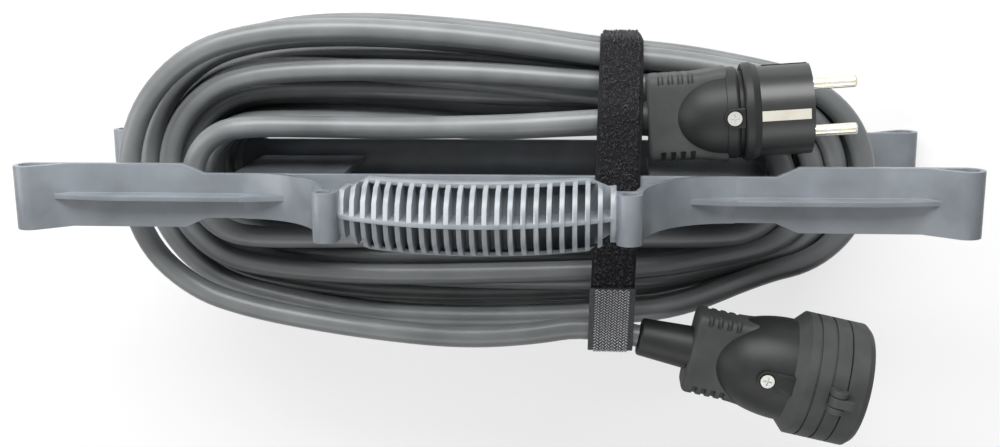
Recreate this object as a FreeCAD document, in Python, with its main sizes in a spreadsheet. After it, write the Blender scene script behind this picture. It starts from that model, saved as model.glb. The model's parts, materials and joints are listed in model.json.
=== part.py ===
"""Extension cord on a flat winder: moulded frame with a ribbed handle, wound rubber
cable, earthed plug, splash-proof socket with a sprung lid, and a hook-and-loop strap.

Frame of the part: X along the rails, Y across them, Z up out of the handle.
The winder stands on the rolled ends of its lower rail, at Z = 0.
"""
import FreeCAD, Part
import math
import os

from FreeCAD import Placement, Rotation, Vector

SIZES = {
    # winder frame
    "rail_length": 390.0,
    "rail_width": 26.6,
    "waist_width": 18.6,
    "waist_start": 116.0,
    "waist_end": 125.0,
    "strip_thick": 2.8,
    "rail_spacing": 100.0,
    "roll_length": 22.0,
    "roll_bulge": 9.6,
    "roll_wall": 2.2,
    "roll_lean": 28.0,
    "rib_thick": 2.1,
    "rib_height": 7.6,
    "rib_start": 82.0,
    "rib_end": 182.0,
    "rib_tip": 3.4,
    "rib_slope": 26.0,
    "rib_free_slope": 30.0,
    "core_inner": 68.0,
    "core_outer": 118.0,
    "core_thick": 3.0,
    # handle
    "arm_foot": 100.0,
    "arm_width": 19.0,
    "cheek_thick": 2.4,
    "boss_width": 9.6,
    "boss_rise": 38.0,
    "boss_height": 11.0,
    "boss_wall": 2.0,
    "grip_length": 97.0,
    "grip_width": 27.4,
    "grip_end_width": 19.0,
    "grip_offset": 4.0,
    "grip_taper": 6.5,
    "grip_arch": 14.0,
    "grip_crown": 3.0,
    "grip_rim": 13.0,
    "grip_hollow": 5.5,
    "grip_skin": 2.0,
    "grip_end_wall": 2.2,
    "spine_thick": 1.6,
    "fin_count": 21,
    "fin_chords": 6,
    "fin_pitch": 4.65,
    "fin_thick": 1.8,
    # cable and coil
    "cable_dia": 9.5,
    "coil_layers": 4,
    "layer_turns": 2,
    "coil_inner_x": 126.0,
    "coil_inner_y": 24.0,
    "coil_step_x": 11.2,
    "coil_step_y": 14.2,
    "coil_low": 20.6,
    "coil_top_left": 86.0,
    "coil_top_right": 70.0,
    "coil_wander": 0.4,
    "coil_left_set": 6.0,
    "coil_far_pull": 3.6,
    "coil_far_flat": 0.5,
    "coil_lean": 6.0,
    "coil_layer_lean": 3.4,
    # plug
    "plug_x": 129.0,
    "plug_y": 35.5,
    "plug_z": 97.0,
    "plug_turn": 3.8,
    "pin_dia": 4.8,
    "pin_root_dia": 4.4,
    "pin_root_length": 12.0,
    "pin_length": 19.0,
    "pin_spacing": 19.0,
    "side_groove_width": 4.8,
    "side_groove_depth": 2.6,
    "clip_width": 4.2,
    "clip_depth": 1.1,
    "insert_dia": 36.4,
    "insert_length": 20.4,
    "ring_dia": 39.4,
    "ring_length": 6.2,
    "neck_dia": 33.0,
    "neck_length": 1.8,
    "shell_length": 35.6,
    "shell_dia": 37.0,
    "collar_band": 5.0,
    "nose_set": 8.0,
    "nose_dia": 6.0,
    "taper_sides": 32,
    "bullet_steps": 4,
    "tail_width": 35.0,
    "tail_height": 20.0,
    "tail_length": 30.0,
    "tail_chamfer": 2.4,
    "relief_dia": 15.0,
    "relief_length": 12.0,
    "relief_taper": 1.4,
    "notch_count": 4,
    "notch_pitch": 3.9,
    "notch_width": 1.7,
    "notch_depth": 4.0,
    "notch_start": 4.5,
    "notch_recess": 1.8,
    "boss_dia": 7.4,
    "boss_ear": 2.4,
    "boss_set": 2.6,
    "boss_stand": 0.9,
    "screw_head_dia": 5.6,
    "screw_head_height": 2.6,
    "screw_sink": 2.2,
    "cross_length": 3.4,
    "cross_width": 0.7,
    "cross_depth": 1.0,
    # socket
    "contact_dia": 7.2,
    "contact_length": 20.5,
    "contact_block_dia": 28.0,
    "contact_block_length": 17.5,
    "contact_bore": 5.0,
    "socket_x": 154.6,
    "socket_y": -82.0,
    "socket_z": 94.0,
    "socket_turn": -12.3,
    "collar_dia": 52.0,
    "collar_length": 21.0,
    "shoulder_length": 4.5,
    "shoulder_drop": 4.0,
    "lid_chamfer": 2.0,
    "lid_depth": 4.6,
    "lid_skirt": 3.0,
    "lid_length": 9.6,
    "lid_gap": 0.4,
    "lid_arm_thick": 2.5,
    "recess_dia": 39.2,
    "recess_depth": 17.0,
    "socket_shell_length": 41.0,
    "socket_relief_dia": 18.0,
    "socket_relief_length": 21.5,
    "socket_boss_set": 10.0,
    "socket_boss_stand": 0.4,
    "earth_clip_width": 4.0,
    "earth_clip_thick": 0.85,
    "earth_clip_set": 3.0,
    "hinge_back": 3.7,
    "hinge_rise": 2.1,
    "barrel_dia": 7.0,
    "barrel_length": 9.6,
    "hinge_pin_dia": 2.4,
    "knuckle_length": 4.0,
    # strap
    "strap_width": 18.0,
    "strap_thick": 2.0,
    "strap_x": 50.0,
    "strap_turn": -2.0,
    "strap_corner": 9.0,
    "hook_thick": 1.2,
    "hook_overhang": 0.5,
    "hook_length": 40.0,
    # clearances
    "seat_gap": 0.3,
    "fit_gap": 0.05,
}

doc = FreeCAD.newDocument("ExtensionCordWinder")
sheet = doc.addObject("Spreadsheet::Sheet", "Sizes")
for row, (name, value) in enumerate(SIZES.items(), start=1):
    sheet.set(f"A{row}", name)
    sheet.set(f"B{row}", str(value))
    sheet.setAlias(f"B{row}", name)
doc.recompute()


def size(name):
    """A driving size, read back from the sheet."""
    return float(sheet.get(name))


def plane(body, role):
    return next(o for o in body.Origin.OriginFeatures if o.Role == role)


def new_body(name):
    body = doc.addObject("PartDesign::Body", name)
    body.Label = name
    return body


def sketch_on(body, role, edges, offset=0.0):
    """A sketch on one of the body's own planes: a closed run of lines and arcs.

    Each edge is a pair of points for a line, or three points for an arc through them.
    """
    sketch = body.newObject("Sketcher::SketchObject", body.Name + "_sketch")
    sketch.AttachmentSupport = [(plane(body, role), "")]
    sketch.MapMode = "FlatFace"
    sketch.AttachmentOffset = Placement(Vector(0, 0, offset), Rotation())
    for edge in edges:
        points = [Vector(p[0], p[1], 0) for p in edge]
        if len(points) == 2:
            sketch.addGeometry(Part.LineSegment(*points), False)
        else:
            sketch.addGeometry(Part.Arc(*points), False)
    return sketch


def loop(points):
    """Straight edges round a list of points."""
    return [(points[i], points[(i + 1) % len(points)]) for i in range(len(points))]


def add_circle(sketch, x, y, radius):
    sketch.addGeometry(Part.Circle(Vector(x, y, 0), Vector(0, 0, 1), radius), False)


def pad(body, sketch, length, both=True):
    feature = body.newObject("PartDesign::Pad", body.Name + "_pad")
    feature.Profile = sketch
    feature.Midplane = both
    feature.setExpression("Length", length)
    sketch.Visibility = False
    return feature


def revolve(body, sketch, axis="H_Axis"):
    feature = body.newObject("PartDesign::Revolution", body.Name + "_turn")
    feature.Profile = sketch
    feature.ReferenceAxis = (sketch, [axis])
    feature.Angle = 360.0
    return feature


def through_pocket(body, sketch):
    feature = body.newObject("PartDesign::Pocket", body.Name + "_pocket")
    feature.Profile = sketch
    feature.Type = "ThroughAll"
    feature.Midplane = True
    return feature


def feature_of(name, shape, placement=None):
    """A Part feature for a shape that the workbenches' own objects don't make."""
    feature = doc.addObject("Part::Feature", name)
    feature.Label = name
    feature.Shape = shape
    if placement is not None:
        feature.Placement = placement
    return feature


NODES = []


def keep(node):
    NODES.append(node)
    return node


# ---------------------------------------------------------------- winder frame
STRIP = size("strip_thick")
BULGE = size("roll_bulge")
HALF = size("rail_length") / 2
LOW_FACE = BULGE                              # outer face of the lower strip
TOP_FACE = BULGE + size("rail_spacing")       # outer face of the upper strip


def rail_profile():
    """Side outline of one rail's strip with a hollow teardrop roll at each end.

    Drawn for the upper rail with its outer face at 0 and the rolls above it.
    """
    wall = size("roll_wall")
    nose = (BULGE + STRIP) / 2                # outer radius of the roll
    centre_x, centre_z = HALF - nose, BULGE - nose
    root = HALF - size("roll_length")
    lean = math.radians(size("roll_lean"))    # the roll's back leans on the strip
    back = (centre_x - nose * math.sin(lean), centre_z + nose * math.cos(lean))
    outer = [
        ((-root, 0), (root, 0)),
        ((root, 0), back),
        (back, (HALF, centre_z), (centre_x, -STRIP)),
        ((centre_x, -STRIP), (-centre_x, -STRIP)),
        ((-centre_x, -STRIP), (-HALF, centre_z), (-back[0], back[1])),
        ((-back[0], back[1]), (-root, 0)),
    ]
    bore = nose - wall
    holes = []
    for side in (1, -1):
        tip = (side * (root + 2 * wall), 0.3 * wall)
        top = (side * (centre_x - bore * math.sin(lean)), centre_z + bore * math.cos(lean))
        foot = (side * centre_x, centre_z - bore)
        holes += [
            (tip, top),
            (top, (side * (centre_x + bore), centre_z), foot),
            (foot, tip),
        ]
    return outer + holes


def waist_cuts():
    """Two flat trapezoids that narrow the middle of a rail."""
    wide = size("rail_width")
    narrow = size("waist_width") / 2
    start, end = size("waist_start"), size("waist_end")
    cuts = []
    for side in (1, -1):
        reach = (end - start) * (wide - narrow) / (wide / 2 - narrow) + start
        cuts += loop([(-start, side * narrow), (start, side * narrow),
                      (reach, side * wide), (-reach, side * wide)])
    return cuts


def make_rail(name, face, side, rib_start):
    """side +1: rolls and ribs point up; -1: they point down."""
    body = new_body(name)
    flip = [tuple((x, side * z) for x, z in edge) for edge in rail_profile()]
    pad(body, sketch_on(body, "XZ_Plane", flip), "Sizes.rail_width")
    doc.recompute()
    full = body.Shape.Volume
    through_pocket(body, sketch_on(body, "XY_Plane", waist_cuts()))
    doc.recompute()
    assert body.Shape.Volume < 0.98 * full, "the waist wasn't cut"
    rise, end, tip = size("rib_height"), size("rib_end"), size("rib_tip")
    for mirror in (1, -1):
        run = rib_start + [(end - size("rib_slope"), rise), (end, tip), (end, -STRIP / 2)]
        points = [(mirror * x, side * z) for x, z in run]
        pad(body, sketch_on(body, "XZ_Plane", loop(points)), "Sizes.rib_thick")
    doc.recompute()
    body.Placement = Placement(Vector(0, 0, face), Rotation())
    return keep(body)


RIB_RISE = size("rib_height")
FOOT = size("arm_foot")                       # the upper ribs go on up the handle's arms
make_rail("upper_rail", TOP_FACE, 1, [(FOOT, -STRIP / 2), (FOOT, RIB_RISE)])
FREE_END = size("rib_start")
make_rail("lower_rail", LOW_FACE, -1,
          [(FREE_END, -STRIP / 2), (FREE_END, 0), (FREE_END + size("rib_free_slope"), RIB_RISE)])


def make_core(name, side):
    """Cross plate that joins the rails and carries the winding."""
    body = new_body(name)
    low, high = LOW_FACE + STRIP, TOP_FACE - STRIP
    inner, outer = size("core_inner"), size("core_outer")
    sketch = sketch_on(body, "XZ_Plane", loop([
        (side * inner, low), (side * outer, low), (side * outer, high), (side * inner, high)]))
    pad(body, sketch, "Sizes.core_thick")
    return keep(body)


make_core("left_core_plate", -1)
make_core("right_core_plate", 1)

# ---------------------------------------------------------------- handle
BOSS_X = size("grip_length") / 2 + size("grip_offset") + size("boss_width") / 2
BOSS_Z = TOP_FACE + size("boss_rise")
ARM_RADIUS = FOOT - BOSS_X - size("boss_width") / 2


def on_arm(radius, degrees):
    """Point on an arc of the right arm: 0 is its upright top, 90 its foot on the rail."""
    turn = math.radians(degrees)
    return (FOOT - radius * math.cos(turn), TOP_FACE + ARM_RADIUS - radius * math.sin(turn))


def mirrored(edges, side):
    return [tuple((side * x, z) for x, z in edge) for edge in edges]


def make_arm(name, side):
    """Curved strip from the rail to the rolled boss, its rib, and a thin cheek under it."""
    body = new_body(name)
    under = ARM_RADIUS + STRIP
    low_turn = math.degrees(math.asin(ARM_RADIUS / under))
    boss, height = size("boss_width") / 2, size("boss_height") / 2
    left, right = BOSS_X - boss, BOSS_X + boss
    low, high = BOSS_Z - height, BOSS_Z + height
    meet = math.degrees(math.asin((TOP_FACE + ARM_RADIUS - low) / under))
    strip = [
        (on_arm(ARM_RADIUS, 0), on_arm(ARM_RADIUS, 45), on_arm(ARM_RADIUS, 90)),
        (on_arm(ARM_RADIUS, 90), on_arm(under, low_turn)),
        (on_arm(under, low_turn), on_arm(under, (low_turn + meet) / 2), on_arm(under, meet)),
        (on_arm(under, meet), (left, low)),
        ((left, low), (left, high - boss)),
        ((left, high - boss), (BOSS_X, high), (right, high - boss)),
        ((right, high - boss), on_arm(ARM_RADIUS, 0)),
    ]
    sketch = sketch_on(body, "XZ_Plane", mirrored(strip, side))
    add_circle(sketch, side * BOSS_X, high - boss, boss - size("boss_wall"))
    pad(body, sketch, "Sizes.arm_width")
    top = meet + 8
    cheek = [
        (on_arm(under, top), on_arm(under, (top + low_turn) / 2), on_arm(under, low_turn)),
        (on_arm(under, low_turn), (right + 2, TOP_FACE)),
        ((right + 2, TOP_FACE), on_arm(under, top)),
    ]
    pad(body, sketch_on(body, "XZ_Plane", mirrored(cheek, side)), "Sizes.cheek_thick")
    edge = math.degrees(math.acos((FOOT - size("rib_start")) / ARM_RADIUS))
    rib = [
        (on_arm(ARM_RADIUS, edge), on_arm(ARM_RADIUS, (edge + 90) / 2), (FOOT, TOP_FACE)),
        ((FOOT, TOP_FACE), (FOOT, TOP_FACE + RIB_RISE)),
        ((FOOT, TOP_FACE + RIB_RISE), on_arm(ARM_RADIUS, edge)),
    ]
    pad(body, sketch_on(body, "XZ_Plane", mirrored(rib, side)), "Sizes.rib_thick")
    return keep(body)


make_arm("left_handle_arm", -1)
make_arm("right_handle_arm", 1)


def make_grip():
    """Arched grip: a thin band underneath, a mid spine and a comb of half-round fins."""
    half, width = size("grip_length") / 2, size("grip_width") / 2
    end = BOSS_X - size("boss_width") / 2
    arch, rim, skin = size("grip_arch"), size("grip_rim"), size("grip_skin")
    crown = BOSS_Z + arch + size("grip_crown")
    radius = (half ** 2 + arch ** 2) / (2 * arch)
    deep = rim + size("grip_hollow")
    spine, wall = size("spine_thick"), size("grip_end_wall")

    def crown_at(x):
        return crown - radius + math.sqrt(radius ** 2 - x ** 2)

    def arched(top, bottom, x0, x1):
        """Plate between two arcs that run parallel to the crown, from x0 to x1."""
        middle = (x0 + x1) / 2
        points = [Vector(x, 0, crown_at(x) - drop)
                  for drop, xs in ((top, (x0, middle, x1)), (bottom, (x1, middle, x0))) for x in xs]
        edges = [Part.Arc(*points[:3]).toShape(), Part.LineSegment(points[2], points[3]).toShape(),
                 Part.Arc(*points[3:]).toShape(), Part.LineSegment(points[5], points[0]).toShape()]
        return Part.Face(Part.Wire(edges))

    def across(face, thick):
        face.translate(Vector(0, -thick / 2, 0))
        return face.extrude(Vector(0, thick, 0))

    def fin(x, thick):
        """Half-round slice across the grip, standing on the band."""
        top = crown_at(x)
        low = top - deep + skin / 2
        curve = (width ** 2 + rim ** 2) / (2 * rim)
        spread = math.asin(min(1.0, width / curve))
        chords = int(size("fin_chords"))
        points = [Vector(x, width, low), Vector(x, -width, low)]
        for i in range(chords + 1):
            turn = spread * (2 * i / chords - 1)
            points.append(Vector(x, curve * math.sin(turn), top - curve * (1 - math.cos(turn))))
        return Part.Face(Part.makePolygon(points + points[:1])).extrude(Vector(thick, 0, 0))

    band = across(arched(deep - skin, deep, -end, end), 2 * width)
    thick, pitch, count = size("fin_thick"), size("fin_pitch"), int(size("fin_count"))
    first = -pitch * (count - 1) / 2
    parts = [fin(first + i * pitch - thick / 2, thick) for i in range(count)]
    parts += [fin(-end, wall), fin(end - wall, wall)]
    parts.append(across(arched(0.0, deep - skin / 2, -end, end), spine))
    rims = across(arched(rim - skin / 2, deep - skin / 2, -end, end), 2 * width)
    rims = rims.cut(across(arched(0.0, deep, -end, end), 2 * width - 2 * spine))
    grip = band.multiFuse(parts + rims.Solids)
    narrow = size("grip_end_width") / 2
    taper = half - size("grip_taper")
    outline = Part.makePolygon([Vector(x, y, 0) for x, y in [
        (-end, -narrow), (-half - 1, -narrow), (-taper, -width), (taper, -width), (half + 1, -narrow),
        (end, -narrow), (end, narrow), (half + 1, narrow), (taper, width), (-taper, width),
        (-half - 1, narrow), (-end, narrow), (-end, -narrow)]])
    column = Part.Face(outline).extrude(Vector(0, 0, 2 * crown))
    return keep(feature_of("handle_grip", grip.common(column).removeSplitter()))


make_grip()

# ---------------------------------------------------------------- wound cable
CABLE = size("cable_dia")


def oval(end_x, side_y, lean):
    """Corner of an oval made of arcs: its ends reach end_x and its bowed sides side_y."""
    bow, cap = math.tan(lean / 2), (1 - math.sin(lean)) / math.cos(lean)
    corner_x = (end_x - cap * side_y) / (1 - cap * bow)
    return corner_x, side_y - bow * corner_x


def coil_corner(quarter, layer, level, wander):
    """A corner of the winding and its direction. quarter 0: back left, then round anticlockwise."""
    end_x = size("coil_inner_x") + layer * size("coil_step_x")
    along = [(-1, 1, -1, -1), (-1, -1, 1, -1), (1, -1, 1, 1), (1, 1, -1, 1)][quarter]
    side_y = size("coil_inner_y") + layer * size("coil_step_y") + wander
    layer_lean = size("coil_layer_lean")
    if along[0] < 0:
        end_x += size("coil_left_set")
    if quarter == 3:                                  # drawn in at the far right, beside the strap
        side_y -= size("coil_far_pull") * layer / (size("coil_layers") - 1)
        layer_lean *= size("coil_far_flat")
    lean = math.radians(size("coil_lean") + layer_lean * layer)
    x, y = oval(end_x, side_y, lean)
    top = size("coil_top_left") if along[0] < 0 else size("coil_top_right")
    z = size("coil_low") + level * (top - size("coil_low"))
    heading = Vector(along[2] * math.cos(lean), along[3] * math.sin(lean), 0)
    return Vector(along[0] * x, along[1] * y, z), heading


def coil_stations():
    """Corners of the whole winding, from the plug's end at the top inside."""
    layers, turns = int(size("coil_layers")), int(size("layer_turns"))
    stations = []
    count = 0
    for layer in range(layers):
        steps = 4 * turns - 2
        for step in range(steps + 1):
            level = step / steps if layer % 2 else 1 - step / steps
            wander = size("coil_wander") * math.sin(2.4 * (count // 4) + layer)
            if step == 0 and layer:
                stations.append(coil_corner(count % 4, layer - 0.5, level, 0))
                count += 1
            stations.append(coil_corner(count % 4, layer, level, wander))
            count += 1
    while len(stations) % 4 != 2:             # the last end leaves along the front run
        stations.pop()
    return stations


def biarc(p1, t1, p2, t2):
    """Two tangent arcs from p1 along t1 to p2 along t2, with equal arms."""
    v, t = p2 - p1, t1 + t2
    a, b = 2 * (1 - t1.dot(t2)), v.dot(t)
    arm = v.dot(v) / (2 * b) if a < 1e-6 else (-b + math.sqrt(b * b + a * v.dot(v))) / a
    joint = (p1 + p2 + (t1 - t2) * arm) * 0.5
    edges = []
    for start, corner, end in ((p1, p1 + t1 * arm, joint), (joint, p2 - t2 * arm, p2)):
        chord = end - start
        middle = (start + end) * 0.5
        up = corner - middle
        half_turn = math.atan2(2 * up.Length, chord.Length)
        if half_turn < 1e-4:
            edges.append(Part.LineSegment(start, end).toShape())
        else:
            rise = chord.Length / 2 * math.tan(half_turn / 2)
            edges.append(Part.Arc(start, middle + up.normalize() * rise, end).toShape())
    return edges


def tube(edges, diameter, sides=5):
    """A cable along a path of lines and arcs, with a many-sided section."""
    path = Part.Wire(edges)
    first = edges[0]
    start = first.valueAt(first.FirstParameter)
    heading = first.tangentAt(first.FirstParameter)
    across = heading.cross(Vector(0, 0, 1)).normalize()
    up = across.cross(heading)
    radius = diameter / 2 / math.sqrt(math.cos(math.pi / sides))
    corners = []
    for i in range(sides + 1):
        turn = 2 * math.pi * (i + 0.5) / sides
        corners.append(start + across * (radius * math.cos(turn)) + up * (radius * math.sin(turn)))
    section = Part.makePolygon(corners)
    solid = path.makePipeShell([section], True, False)
    area = sides / 2 * radius ** 2 * math.sin(2 * math.pi / sides)
    share = solid.Volume / (area * path.Length)
    print(f"tube of {path.Length / 1000:.2f} m: volume is {share:.4f} of section times length")
    return solid


def path_points(edges, step):
    """Points along a path with their distance along it."""
    points, run = [], 0.0
    for edge in edges:
        count = max(2, int(edge.Length / step))
        first, last = edge.FirstParameter, edge.LastParameter
        for i in range(count):
            share = i / count
            points.append((run + share * edge.Length, edge.valueAt(first + share * (last - first))))
        run += edge.Length
    return points


def least_gap(edges, diameter):
    """Least gap between stretches of the cable that are over four diameters apart along it."""
    cells, best = {}, math.inf
    for along, point in path_points(edges, 4.0):
        key = [int(c // (2 * diameter)) for c in point]
        for dx in (-1, 0, 1):
            for dy in (-1, 0, 1):
                for dz in (-1, 0, 1):
                    for other_along, other in cells.get((key[0] + dx, key[1] + dy, key[2] + dz), ()):
                        if along - other_along > 4 * diameter:
                            best = min(best, (point - other).Length)
        cells.setdefault(tuple(key), []).append((along, point))
    return best - diameter


def coil_path():
    stations = coil_stations()
    start, heading = stations[0]
    end, end_heading = stations[-1]
    edges = [Part.LineSegment(start - heading * CABLE, start).toShape()]
    for (p1, t1), (p2, t2) in zip(stations[:-1], stations[1:]):
        edges += biarc(p1, t1, p2, t2)
    edges.append(Part.LineSegment(end, end + end_heading * CABLE).toShape())
    return edges


coil_edges = coil_path()
radii = [e.Curve.Radius for e in coil_edges if hasattr(e.Curve, "Radius")]
length = sum(e.Length for e in coil_edges)
print(f"coil: {length / 1000:.2f} m, radii {min(radii):.1f} to {max(radii):.0f} mm")
print(f"coil: least gap to itself {least_gap(coil_edges, CABLE):.2f} mm")
keep(feature_of("cable_coil", tube(coil_edges, CABLE)))
COIL_START = coil_edges[0].valueAt(coil_edges[0].FirstParameter)
COIL_END = coil_edges[-1].valueAt(coil_edges[-1].LastParameter)
COIL_OUT = coil_stations()[0][1] * -1         # each end's direction away from the coil
COIL_ON = coil_stations()[-1][1]


# ---------------------------------------------------------------- turned pieces
def turned(name, profile):
    """A body turned about its X axis from half a profile, given as x and radius."""
    body = new_body(name)
    revolve(body, sketch_on(body, "XY_Plane", loop(profile)))
    doc.recompute()
    return body


def cylinder(start, direction, radius, length):
    return Part.makeCylinder(radius, length, Vector(*start), Vector(*direction))


def box(x0, x1, y0, y1, z0, z1):
    return Part.makeBox(x1 - x0, y1 - y0, z1 - z0, Vector(x0, y0, z0))


def tapered(rings):
    """Many-sided taper along X through rings given as x and radius, each as large as its circle."""
    sides = int(size("taper_sides"))
    turns = [2 * math.pi * i / sides for i in range(sides)]
    corners = []
    for x, radius in rings:
        reach = radius / math.sqrt(math.cos(math.pi / sides))
        corners.append([Vector(x, reach * math.cos(t), reach * math.sin(t)) for t in turns])
    outlines = [corners[0], corners[-1]]
    for near, far in zip(corners[:-1], corners[1:]):
        for i in range(sides):
            j = (i + 1) % sides
            outlines.append([near[i], near[j], far[j], far[i]])
    faces = [Part.Face(Part.makePolygon(outline + outline[:1])) for outline in outlines]
    shell = Part.makeShell(faces)
    shell.fix(1e-6, 1e-6, 1e-6)
    solid = Part.makeSolid(shell)
    return solid if solid.Volume > 0 else solid.reversed()


def bullet(front, rear, front_r, nose_r):
    """Blunt bullet that swells from its rear nose to its front."""
    steps = int(size("bullet_steps"))
    rings = []
    for i in range(steps, -1, -1):
        turn = math.pi / 2 * i / steps
        rings.append((rear + (front - rear) * (1 - math.sin(turn)),
                      nose_r + (front_r - nose_r) * math.cos(turn)))
    return tapered(rings)


def grip_tail(front, rear):
    """Flat waisted tail behind a plug's body, with four finger notches in each edge."""
    wide, tall = size("tail_width") / 2, size("tail_height") / 2
    corner = size("tail_chamfer")
    block = box(rear, front, -wide, wide, -tall, tall)
    lengthwise = [e for e in block.Edges if abs(e.tangentAt(e.FirstParameter).x) > 0.9]
    block = block.makeChamfer(corner, lengthwise)
    pitch, slot = size("notch_pitch"), size("notch_width")
    deep, recess = size("notch_depth"), size("notch_recess")
    for i in range(int(size("notch_count"))):
        x = rear + size("notch_start") + i * pitch
        for side in (1, -1):
            for face in (1, -1):
                edge = sorted((side * (wide - deep), side * (wide + 1)))
                flat = sorted((face * (tall - recess), face * (tall + 1)))
                block = block.cut(box(x - slot / 2, x + slot / 2, *edge, *flat))
    return block


def screw_boss(x, height, low):
    """Round boss for the housing screw, with an ear towards the front."""
    radius = size("boss_dia") / 2
    boss = cylinder((x, 0, low), (0, 0, 1), radius, height - low)
    ear = box(x, x + radius + size("boss_ear"), -radius, radius, low, height)
    hole_r = size("screw_head_dia") / 2 + size("fit_gap")
    hole = cylinder((x, 0, height - size("screw_sink")), (0, 0, 1), hole_r, size("screw_sink") + 1)
    return boss.fuse(ear), hole


def screw(x, height):
    """Pan-headed housing screw with a cross recess, its head just above the boss."""
    low = height - size("screw_sink")
    top = low + size("screw_head_height")
    head = cylinder((x, 0, low), (0, 0, 1), size("screw_head_dia") / 2, top - low)
    long, wide = size("cross_length") / 2, size("cross_width") / 2
    floor = top - size("cross_depth")
    cross = box(x - long, x + long, -wide, wide, floor, top + 1)
    return head.cut(cross.fuse(box(x - wide, x + wide, -long, long, floor, top + 1)))


def relief(rear, front, dia):
    """Tapered rubber sleeve that the cable leaves through."""
    return tapered([(rear, dia / 2 - size("relief_taper")), (front, dia / 2)])


def placed(name, shape, where):
    return keep(feature_of(name, shape, where))


# ---------------------------------------------------------------- plug, along its own X
PLUG_AT = Placement(Vector(size("plug_x"), size("plug_y"), size("plug_z")),
                    Rotation(Vector(0, 0, 1), size("plug_turn")))
FIT = size("fit_gap")
pin_r, root_r, pin_off = size("pin_dia") / 2, size("pin_root_dia") / 2, size("pin_spacing") / 2
insert_r, insert_back = size("insert_dia") / 2, -size("insert_length")
ring_back = insert_back - size("ring_length")
neck_back = ring_back - size("neck_length")
shell_back = neck_back - size("shell_length")
PIN_ROOT = -size("pin_root_length")


def make_plug():
    insert = turned("plug_insert", [
        (insert_back, 0), (insert_back, insert_r), (0, insert_r), (0, 0)]).Shape
    groove, clip, clip_deep = size("side_groove_width") / 2, size("clip_width") / 2, size("clip_depth")
    for side in (1, -1):
        insert = insert.cut(cylinder((PIN_ROOT, side * pin_off, 0), (1, 0, 0), root_r + FIT, 20))
        low, high = sorted((side * (insert_r - size("side_groove_depth")), side * (insert_r + 1)))
        insert = insert.cut(box(insert_back + 2, 1, low, high, -groove, groove))
        low, high = sorted((side * (insert_r - clip_deep), side * (insert_r + 1)))
        insert = insert.cut(box(insert_back, -1.5, -clip, clip, low, high))
    doc.removeObject("plug_insert")
    placed("plug_insert", insert, PLUG_AT)
    for name, side in (("plug_pin_line", 1), ("plug_pin_neutral", -1)):
        pin = turned(name, [(PIN_ROOT, 0), (PIN_ROOT, root_r), (0, root_r), (0, pin_r),
                            (size("pin_length") - 1.4, pin_r), (size("pin_length"), pin_r - 1.4),
                            (size("pin_length"), 0)])
        pin.Placement = PLUG_AT.multiply(Placement(Vector(0, side * pin_off, 0), Rotation()))
        keep(pin)
    for name, side in (("plug_earth_clip_upper", 1), ("plug_earth_clip_lower", -1)):
        low, high = sorted((side * (insert_r - clip_deep), side * (insert_r - 2 * FIT)))
        strip = box(insert_back + 2 * FIT, -1.5 - 2 * FIT, -clip + 2 * FIT, clip - 2 * FIT, low, high)
        placed(name, strip, PLUG_AT)
    ring_r = size("ring_dia") / 2
    ring = turned("plug_flange_ring", [
        (ring_back, 0), (ring_back, ring_r), (insert_back, ring_r), (insert_back, 0)])
    ring.Placement = PLUG_AT
    keep(ring)
    neck_r, shell_r = size("neck_dia") / 2, size("shell_dia") / 2
    collar_back = neck_back - size("collar_band")
    shell = turned("plug_housing", [
        (ring_back, 0), (ring_back, neck_r), (neck_back, neck_r), (neck_back, shell_r),
        (collar_back, shell_r), (collar_back, 0)]).Shape
    doc.removeObject("plug_housing")
    nose_back, nose_r = shell_back + size("nose_set"), size("nose_dia") / 2
    shell = shell.fuse(bullet(collar_back, nose_back, shell_r - 0.8, nose_r))
    shell = shell.fuse(grip_tail(shell_back + size("tail_length"), shell_back))
    screw_x, screw_top = neck_back - size("boss_set"), shell_r + size("boss_stand")
    boss, hole = screw_boss(screw_x, screw_top, shell_r - 6)
    shell = shell.fuse(boss.cut(box(ring_back - 0.1, 5, -9, 9, 0, 40))).cut(hole).removeSplitter()
    placed("plug_housing", shell, PLUG_AT)
    placed("plug_housing_screw", screw(screw_x, screw_top), PLUG_AT)
    placed("plug_strain_relief",
           relief(shell_back - size("relief_length"), shell_back, size("relief_dia")), PLUG_AT)


make_plug()

# ---------------------------------------------------------------- socket, along its own X
SOCKET_AT = Placement(Vector(size("socket_x"), size("socket_y"), size("socket_z")),
                      Rotation(Vector(0, 0, 1), size("socket_turn")))
lid_back = -size("lid_length")
collar_front = lid_back - size("lid_gap")
collar_rear = collar_front - size("collar_length")
collar_r, recess_r = size("collar_dia") / 2, size("recess_dia") / 2
recess_floor = collar_front - size("recess_depth")
socket_back = collar_rear - size("socket_shell_length")
shoulder_r = collar_r - size("shoulder_drop")
hinge = (lid_back - size("hinge_back"), collar_r + size("hinge_rise"))
barrel_r, barrel_half = size("barrel_dia") / 2, size("barrel_length") / 2
hinge_pin_r = size("hinge_pin_dia") / 2
KNUCKLE = size("knuckle_length") / 2
BOSS_R = size("contact_block_dia") / 2        # contact block behind the recess floor
BOSS_BACK = collar_rear - size("contact_block_length")


def barrel(y0, y1, radius=None):
    return cylinder((hinge[0], y0, hinge[1]), (0, 1, 0), radius or barrel_r, y1 - y0)


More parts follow.
